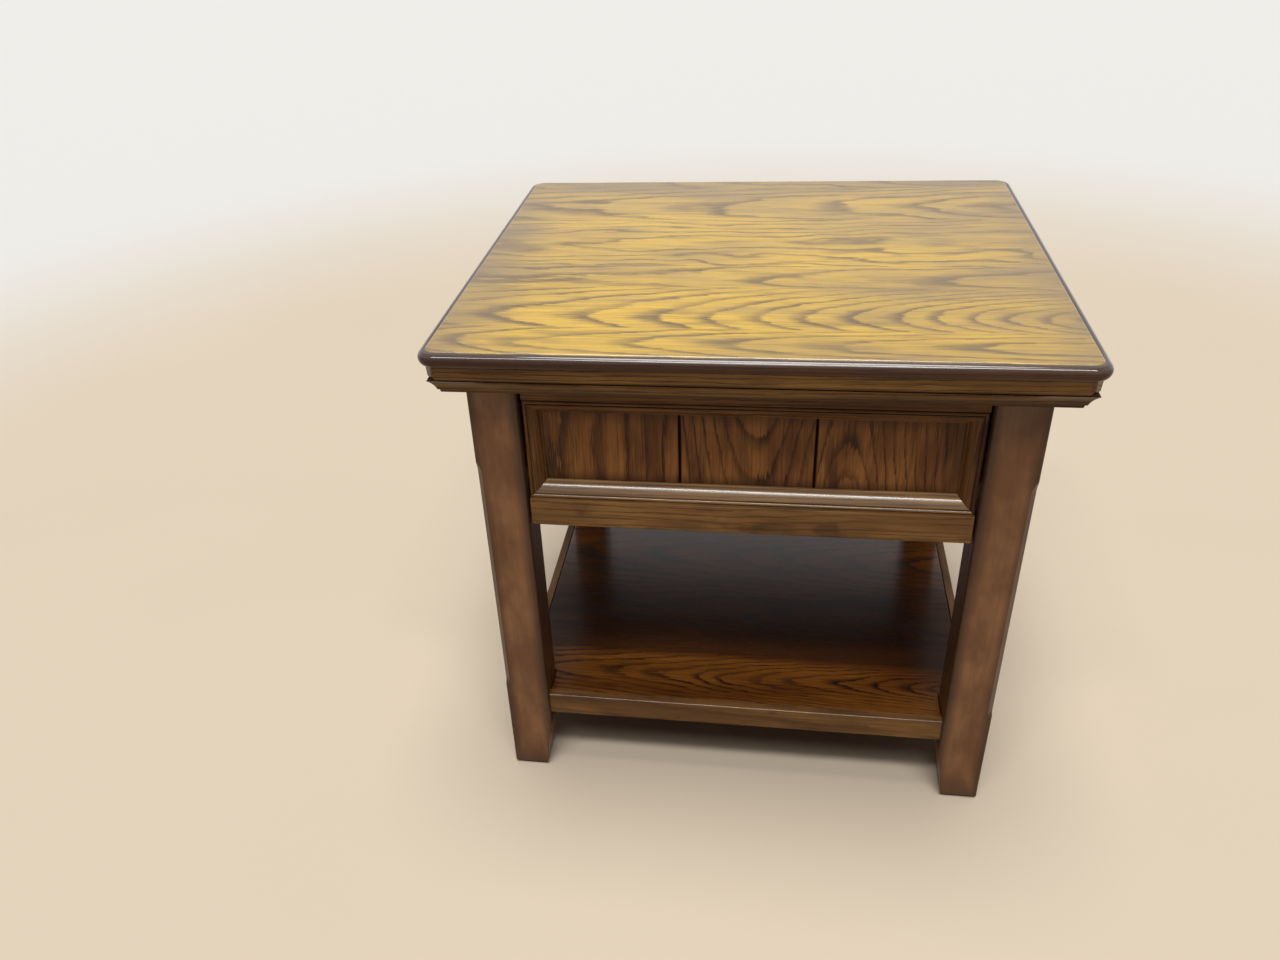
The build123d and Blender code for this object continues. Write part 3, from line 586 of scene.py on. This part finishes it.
for run, grain in (("x", ("x", "z", "y")), ("y", ("y", "z", "x"))):
    finishes["dark_moulding_" + run] = stained_board(
        "dark moulding along " + run,
        DARK_LOOK,
        grain,
        straight_figure(MOULDING_RING, MOULDING_STIR),
        foot_shade,
    )
    finishes["nosing_" + run] = stained_board(
        "nosing along " + run,
        NOSING_LOOK,
        grain,
        straight_figure(MOULDING_RING, MOULDING_STIR),
        polish=shoulder_polish,
    )
print("made the dark mouldings and the nosing")

# %% [markdown]
# ## The legs
#
# The legs are solid, with the grain standing upright. Each face is toned lighter down
# its middle and darker near its arrises.
# The distance from a leg's centre line gives that: on a face one of the two distances
# is always half the leg's width, so the smaller one tells how near the arris is. The
# inner faces, the heads and the feet are toned darker too, the heads on the right most
# of all, in place of shadow that this even light doesn't make deep enough.

# %% Leg finish
leg_low, leg_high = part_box("leg_front_right")
LEG_X = (leg_low.x + leg_high.x) / 2
LEG_Y = abs(leg_low.y + leg_high.y) / 2
LEG_HALF = (leg_high.x - leg_low.x) / 2
LEG_INNER = LEG_X - LEG_HALF
FOOT_TONE = (0.050, 0.004)          # where the tone starts to show, and where it is full
HEAD_TONE = (0.470, leg_high.z - 0.004)


def leg_shade(x, y, z):
    """A darker tone near a leg's arrises, on its inner face, at its head and its foot."""
    aside = abs(abs(x) - LEG_X)
    ahead = abs(abs(y) - LEG_Y)
    arris = aside.at_most(ahead).fade(LEG_HALF * 0.40, LEG_HALF * 0.95)
    inner = abs(x).fade(LEG_INNER + 0.004, LEG_INNER + 0.001) * 0.95
    foot = z.fade(*FOOT_TONE) * 0.6
    right_side = x.fade(-0.1, 0.1) * 0.40 + 0.15
    head = z.fade(*HEAD_TONE) * right_side
    return (arris * 0.80).at_least(inner).at_least(foot).at_least(head)


def leg_figure(along, across, depth, x, y, z):
    """Upright grain, cut aslant, so that no two faces of a leg look alike."""
    return growth_rings(
        z, x + y * 0.6, y, deep=0.16, climb=0.020, bend=0.01, ring=0.0075, stir=1.4
    )


finishes["leg_wood"] = stained_board(
    "leg wood",
    {
        "light": (0.265, 0.125, 0.052),
        "warm": (0.158, 0.064, 0.024),
        "dark": (0.080, 0.032, 0.013),
        "pores": (0.050, 0.020, 0.008),
        "shade": (0.042, 0.017, 0.008),
        "patches": (13.0, 26.0, 26.0),
        "figure": 0.08,
        "smoke": 0.30,
        "streak": 0.12,
        "pore": 0.22,
        "rough": 0.26,
        "dent": 0.00006,
        "shine": 0.25,
        "lacquer": 0.06,
        "lacquer rough": 0.12,
    },
    ("z", "x", "y"),
    leg_figure,
    leg_shade,
)
print("legs stand at", round(LEG_X, 4), round(LEG_Y, 4))

# %% [markdown]
# ## The drawer panel
#
# The panel looks like three upright boards: two V-grooves part it, and each board has
# its own figure. The heart, depth and rise of the rings therefore change at the
# grooves. The grooves and the rim beside the frame are toned darker. Stain gathers in
# such places and shadow does too, and the tone stands for both.

# %% Drawer panel finish
PANEL_HALF = -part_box("drawer_moulding_left")[1].x
PANEL_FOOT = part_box("drawer_moulding_bottom")[1].z
PANEL_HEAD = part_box("drawer_moulding_top")[0].z
GROOVE_X = 0.0713                   # a V-groove's distance from the middle of the panel
RINGS_FROM = 0.47                   # the height from which the boards rise


def panel_figure(along, across, depth, x, y, z):
    """The left board is nearly straight, and the other two have an arch each."""

    def board(values):
        return stepped(x, (-GROOVE_X, GROOVE_X), values)

    return growth_rings(
        z - RINGS_FROM,
        x - board((-0.215, 0.012, 0.106)),
        y,
        deep=board((0.080, 0.052, 0.030)),
        climb=board((0.02, 0.20, -0.30)),
        bend=board((0.05, 0.60, 1.60)),
        pinch=board((0.8, 1.2, 1.3)),
        ring=0.0115,
        stir=board((1.3, 1.5, 1.2)),
        shake=0.25,
    )


def panel_shade(x, y, z):
    """A darker tone in the grooves and near the frame."""
    groove = abs(abs(x) - GROOVE_X).fade(0.0030, 0.0008)
    side = abs(x).fade(PANEL_HALF - 0.030, PANEL_HALF) * 0.45
    foot = z.fade(PANEL_FOOT + 0.014, PANEL_FOOT) * 0.5
    head = z.fade(PANEL_HEAD - 0.016, PANEL_HEAD) * 0.5
    return groove.at_least(side).at_least(foot).at_least(head)


finishes["drawer_veneer"] = stained_board(
    "drawer panel veneer",
    {
        "light": (0.275, 0.110, 0.028),
        "warm": (0.128, 0.041, 0.010),
        "dark": (0.018, 0.005, 0.002),
        "pores": (0.012, 0.004, 0.002),
        "shade": (0.016, 0.005, 0.002),
        "patches": (7.0, 30.0, 30.0),
        "figure": 0.90,
        "smoke": 0.62,
        "streak": 0.40,
        "pore": 0.60,
        "rough": 0.34,
        "dent": 0.00010,
        "shine": 0.15,
        "lacquer": 0.0,
        "lacquer rough": 0.15,
    },
    ("z", "x", "y"),
    panel_figure,
    panel_shade,
)
print("panel from", round(PANEL_FOOT, 4), "to", round(PANEL_HEAD, 4))

# %% [markdown]
# ## The drawer's frame and rails
#
# The small mouldings round the panel have a dark stain, with the grain along each
# piece. The lower one faces the light and looks lighter and glossier than the other
# three. The light here doesn't lift it that far, so it gets a finish of its own,
# golden brown and glossy, although all four may well share one stain: in other light
# it looks different from its neighbours. The rails and the aprons are a golden brown
# too, with mottled darker spots, so they get their own lighter look. The coat is full
# on the front arris of the shelf's rail alone, so that a thin bright line runs along
# it.

# %% Drawer moulding and rail finishes
SMALL_RING, SMALL_STIR = 0.0042, 1.8
MOULDING_LOOK = dict(
    DARK_LOOK,
    light=(0.175, 0.074, 0.020),
    warm=(0.098, 0.037, 0.010),
    dark=(0.018, 0.006, 0.002),
    rough=0.14,
)
# A lighter copy of the moulding look: painted light, for the light that falls on the lower
# moulding.
LOWER_MOULDING_LOOK = dict(
    MOULDING_LOOK,
    light=(0.300, 0.155, 0.038),
    warm=(0.180, 0.084, 0.020),
    dark=(0.045, 0.018, 0.006),
    shine=0.40,
    lacquer=0.80,
    rough=0.22,
)
LOWER_MOULDING_LOOK["lacquer rough"] = 0.14

rail_low, rail_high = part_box("shelf_rail_front")
SHELF_LEVEL, SHELF_FRONT = rail_high.z, rail_low.y
SPOT_WAVES = (19.0, 30.0, 20.0)
LOW_TONE = (0.20, 0.12)             # a little darker near the floor, in place of shadow
RAIL_RING, RAIL_STIR = 0.0052, 2.4
RAIL_LOOK = {
    "light": (0.285, 0.142, 0.040),
    "warm": (0.165, 0.075, 0.022),
    "dark": (0.036, 0.013, 0.005),
    "pores": (0.026, 0.010, 0.004),
    "shade": (0.050, 0.020, 0.008),
    "figure": 0.55,
    "smoke": 0.50,
    "streak": 0.35,
    "pore": 0.55,
    "rough": 0.28,
    "dent": 0.00008,
    "shine": 0.15,
    "lacquer": 1.0,
    "lacquer rough": 0.12,
}


def spots_and_low_shade(grain):
    """Dark soft spots, as of uneven stain, and a painted shade near the floor."""

    def shade(x, y, z):
        along, across, depth = [(x, y, z)[AXES[axis]] for axis in grain]
        spots = grain_noise(along, across, depth, SPOT_WAVES, 2.0, shift=7.0)
        low = z.fade(*LOW_TONE) * 0.25
        return (spots.fade(0.56, 0.70) * 0.62).at_least(low)

    return shade


def arris_polish(x, y, z):
    """The shelf's front arris shines, and the rest of the rails is nearly dull."""
    upper = abs(z - SHELF_LEVEL).fade(0.0016, 0.0006)
    front = y.fade(SHELF_FRONT + 0.0020, SHELF_FRONT + 0.0010)
    return upper * front * 0.95 + 0.05


for run, grain in (("x", ("x", "z", "y")), ("z", ("z", "x", "y"))):
    finishes["drawer_moulding_" + run] = stained_board(
        "drawer moulding along " + run,
        MOULDING_LOOK,
        grain,
        straight_figure(SMALL_RING, SMALL_STIR),
    )
finishes["lower_moulding"] = stained_board(
    "lower drawer moulding",
    LOWER_MOULDING_LOOK,
    ("x", "z", "y"),
    straight_figure(SMALL_RING, SMALL_STIR),
)
for run, grain in (("x", ("x", "z", "y")), ("y", ("y", "z", "x"))):
    finishes["rail_wood_" + run] = stained_board(
        "rail wood along " + run,
        RAIL_LOOK,
        grain,
        straight_figure(RAIL_RING, RAIL_STIR),
        spots_and_low_shade(grain),
        arris_polish,
    )
print("made the drawer mouldings and the rails")

# %% [markdown]
# ## The shelf
#
# The shelf is veneered like the top and stained like the legs. Its front leaf has
# tight chevrons that point to the left. Behind that leaf a darker tone is painted on,
# in place of the deep shadow under the drawer, which this even light doesn't make.
# Seen from the side or from behind, the front leaf therefore looks like a lighter
# strip. The coat grows fuller to the back, so that a bright room shows there between
# the reflections of the back legs.

# %% Shelf veneer
SHELF_SEAMS = (-0.125, -0.010, 0.140)
DRAWER_SHADE = (-0.167, -0.146)     # where the darker tone starts, and where it is full
# where the painted shadow thins towards the back of the shelf
SHADE_THINS = (-0.06, 0.10)
GLOSS_GROWS = (-0.05, 0.14)


def shelf_figure(along, across, depth, x, y, z):
    """Chevrons on the front leaf, and calmer grain on the three behind it."""

    def leaf(values):
        return stepped(y, SHELF_SEAMS, values)

    return growth_rings(
        x,
        y - leaf((-0.190, -0.070, 0.065, 0.205)),
        y,
        deep=leaf((0.060, 0.050, 0.055, 0.050)),
        climb=leaf((0.130, 0.030, 0.070, 0.040)),
        bend=leaf((0.02, 0.01, 0.04, 0.02)),
        pinch=leaf((1.5, 0.8, 0.8, 0.8)),
        ring=LEAF_RING,
        stir=leaf((3.6, 2.4, 1.2, 2.0)),
        shake=0.7,
    )


def shelf_shade(x, y, z):
    """A darker tone in place of the drawer's shadow, which thins to the back."""
    return y.fade(*DRAWER_SHADE) * (0.76 - y.fade(*SHADE_THINS) * 0.68)


def shelf_polish(x, y, z):
    """The coat is thin at the front of the shelf and full at its back."""
    return y.fade(*GLOSS_GROWS) * 0.90 + 0.06


finishes["shelf_veneer"] = stained_board(
    "shelf veneer",
    {
        "light": (0.200, 0.072, 0.011),
        "warm": (0.110, 0.034, 0.005),
        "dark": (0.005, 0.001, 0.001),
        "pores": (0.008, 0.002, 0.001),
        "shade": (0.018, 0.006, 0.003),
        "figure": 1.0,
        "smoke": 0.50,
        "streak": 0.35,
        "pore": 0.40,
        "rough": 0.17,
        "dent": 0.00003,
        "shine": 0.10,
        "lacquer": 0.80,
        "lacquer rough": 0.12,
    },
    ("x", "y", "z"),
    shelf_figure,
    shelf_shade,
    shelf_polish,
)
print("made", finishes["shelf_veneer"].name)

# %% [markdown]
# ## Inside the carcase
#
# The hidden parts are plain sawn timber with a thin clear coat: the drawer box, the rail
# behind the drawer front, the battens that hold the slides and the corner blocks. The
# drawer's bottom is birch plywood, whose edge would show its thin layers.

# %% Timber, plywood and dowels
INNER_LOOK = {
    "light": (0.520, 0.360, 0.190),
    "warm": (0.450, 0.290, 0.140),
    "dark": (0.300, 0.175, 0.080),
    "pores": (0.240, 0.135, 0.060),
    "shade": (0.300, 0.180, 0.090),
    "figure": 0.55,
    "smoke": 0.20,
    "streak": 0.25,
    "pore": 0.20,
    "rough": 0.45,
    "dent": 0.00010,
    "shine": 0.35,
    "lacquer": 0.0,
    "lacquer rough": 0.3,
}
for run, grain in (
    ("x", ("x", "z", "y")),
    ("y", ("y", "z", "x")),
    ("z", ("z", "x", "y")),
):
    finishes["inner_wood_" + run] = stained_board(
        "inner timber along " + run, INNER_LOOK, grain, straight_figure(0.0065, 1.6)
    )
finishes["plywood"] = stained_board(
    "birch plywood",
    dict(
        INNER_LOOK,
        light=(0.640, 0.480, 0.290),
        warm=(0.560, 0.400, 0.220),
        dark=(0.430, 0.280, 0.140),
        figure=0.35,
    ),
    ("x", "y", "z"),
    straight_figure(0.0120, 3.4),
)
print("made the inner timber and the plywood")

# %% [markdown]
# ## Steel, rubber and plastic
#
# The slides are zinc plated: a bright grey metal with cloudy patches and fine rolling
# lines along its length. The balls are polished, and the screws are plated in yellow zinc.
# Rubber and plastic scatter light with a wide soft gloss and a slight texture.


# %% Metals and plastics
def plated_steel(name, light, dark, rough, lines):
    """Metal with rolling lines along Y and soft cloudy patches."""
    finish, tree, shader = new_finish(name)
    x, y, z = places(tree)
    patch = grain_noise(y, x, z, (35.0, 60.0, 60.0), 3.0)
    line = grain_noise(y, x, z, (8.0, lines, lines), 2.0, shift=3.0)
    colour = blend(patch.fade(0.35, 0.65), light, dark)
    bump = line.node(
        "ShaderNodeBump", None, {"Strength": 0.3, "Distance": 0.00003, "Height": line}
    )
    set_shader(
        shader,
        {"Metallic": 1.0},
        Base_Color=colour,
        Roughness=patch * 0.10 + line * 0.12 + rough,
        Normal=bump,
    )
    return finish


def moulded(name, light, dark, rough, grit):
    """Rubber or plastic with a fine grit and a cloudy gloss."""
    finish, tree, shader = new_finish(name)
    x, y, z = places(tree)
    cloud = grain_noise(x, y, z, (90.0, 90.0, 90.0), 2.0)
    sand = grain_noise(x, y, z, (grit, grit, grit), 2.0, shift=5.0)
    bump = sand.node(
        "ShaderNodeBump", None, {"Strength": 0.35, "Distance": 0.00005, "Height": sand}
    )
    set_shader(
        shader,
        {"Specular IOR Level": 0.4},
        Base_Color=blend(cloud.fade(0.3, 0.7), light, dark),
        Roughness=cloud * 0.12 + sand * 0.10 + rough,
        Normal=bump,
    )
    return finish


finishes["slide_steel"] = plated_steel(
    "zinc plated steel", (0.62, 0.62, 0.60), (0.50, 0.51, 0.52), 0.22, 900.0
)
finishes["ball_steel"] = plated_steel(
    "polished ball steel", (0.72, 0.72, 0.72), (0.64, 0.64, 0.65), 0.08, 500.0
)
finishes["screw_steel"] = plated_steel(
    "yellow zinc screw steel", (0.55, 0.50, 0.38), (0.47, 0.42, 0.31), 0.28, 700.0
)
finishes["bumper_rubber"] = moulded(
    "bumper rubber", (0.045, 0.042, 0.040), (0.028, 0.027, 0.026), 0.62, 1800.0
)
finishes["glide_plastic"] = moulded(
    "glide plastic", (0.060, 0.048, 0.040), (0.040, 0.032, 0.027), 0.45, 2400.0
)
print("made the metals and plastics")

# %% [markdown]
# ## Giving every part its finish
#
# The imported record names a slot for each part, such as leg wood or rail wood. Where a
# slot's parts run in different directions, the longest side of the part picks the finish
# whose grain runs that way, because a joiner cuts every piece along the grain.

# %% Assign the finishes
part_slots = {row["node"]: row["material_slot"] for row in frame["record"]["subparts"]}
OWN_FINISH = {"drawer_moulding_bottom": "lower_moulding", "rail_dowels": "inner_wood"}


def run_of(name):
    """The axis along which a part is longest, which is how its grain runs."""
    low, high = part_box(name)
    sides = high - low
    return max("xyz", key=lambda axis: getattr(sides, axis))


def finish_for(name):
    """The finish of a part: its slot's, or its slot's along the part's own run."""
    slot = "nosing" if name.startswith("top_nosing") else part_slots[name]
    slot = OWN_FINISH.get(name, slot)
    return finishes.get(slot) or finishes[f"{slot}_{run_of(name)}"]


used = {}
for name, part in nodes.items():
    finish = finish_for(name)
    part.data.materials.clear()
    part.data.materials.append(finish)
    used.setdefault(finish.name, []).append(name)
for finish_name, names in sorted(used.items()):
    print(f"{finish_name}: {len(names)} parts")

# %% [markdown]
# ## Floor
#
# The floor is plain and pale, a warm off-white that throws a little warm light back up
# under the table. A real studio sweeps its paper up behind the object. Here the plane is
# simply large, and its colour turns to the grey of the room far from the table, so that
# no horizon shows.

# %% Floor
FLOOR_SIZE = 16
SWEEP = (1.5, 3.0)                  # metres from the table over which the floor turns grey
SOFT_WAVES = (1.3, 2.2, 1.0)
FINE_WAVES = (40.0, 40.0, 1.0)

bpy.ops.object.select_all(action="DESELECT")
bpy.ops.mesh.primitive_plane_add(size=FLOOR_SIZE, location=(0, 0, 0))
floor = bpy.context.object
floor.name = "floor"
finish, tree, shader = new_finish("pale floor")
x, y, z = places(tree)
soft = grain_noise(x, y, z, SOFT_WAVES, 3.0)
fine = grain_noise(x, y, z, FINE_WAVES, 2.0)
far = ((x * x + y * y) ** 0.5).fade(*SWEEP)
warm_floor = blend(soft, (0.700, 0.605, 0.480), (0.665, 0.570, 0.450))
set_shader(
    shader,
    {"Specular IOR Level": 0.05},
    Base_Color=blend(far, warm_floor, (0.760, 0.760, 0.750)),
    Roughness=fine * 0.1 + 0.5,
)
floor.data.materials.append(finish)
print("floor laid")

# %% [markdown]
# ## Lights
#
# Lamps near the table would light the floor in a pool that fades away. A sun lamp lights
# everything alike, and with a wide angle its shadows are still soft, so each sun here
# stands for a panel of the ceiling, and its angle for the panel's width. One panel is
# overhead and one above the viewer. A row of seven small ones draws the thin bright
# lines along the nosing, the lower drawer moulding and the shelf: a single small lamp
# would show in them as one bright dot.

# %% Ceiling panels and a row of lamps
LAMP_COLOUR = (1.0, 0.98, 0.95)
ROW_STEP, ROW_END = 7, 21           # degrees from lamp to lamp, and from the middle out


def sky_panel(name, tilt_to_front, spread, strength, turn=0):
    """An even, soft light from far above, tilted towards the viewer and to one side."""
    lamp = bpy.data.lights.new(name, "SUN")
    lamp.energy = strength
    lamp.angle = math.radians(spread)
    lamp.color = LAMP_COLOUR
    holder = bpy.data.objects.new(name, lamp)
    bpy.context.scene.collection.objects.link(holder)
    holder.rotation_euler = (math.radians(tilt_to_front), math.radians(turn), 0)


sky_panel("overhead_panel", -3, spread=28, strength=1.76)
sky_panel("front_panel", 28, spread=22, strength=0.60)
for turn in range(-ROW_END, ROW_END + 1, ROW_STEP):
    sky_panel("lamp_row", 24, spread=ROW_STEP, strength=0.18, turn=turn)
print("lights are up")

# %% [markdown]
# ## The room
#
# A lacquer shows the room around it more than it shows any lamp. The room is an even
# near-white. A light-path test keeps it bright for what is seen and mirrored, and nearly
# dark for what it would light, because a white room that also lit the wood from all
# sides would wash out the shadows.

# %% Room around the table
ROOM, FILL = 0.86, 0.045            # as bright as it is seen, and as bright as it lights
room = bpy.data.worlds.new("even room")
bpy.context.scene.world = room
room.use_nodes = True
backdrop = room.node_tree.nodes["Background"]
backdrop.inputs["Color"].default_value = (0.975, 0.985, 1.0, 1.0)
soft_fill = Field(room.node_tree).node("ShaderNodeLightPath", out="Is Diffuse Ray")
room_strength = soft_fill * (FILL - ROOM) + ROOM
room.node_tree.links.new(room_strength.socket, backdrop.inputs["Strength"])
print("the room is", ROOM, "bright")
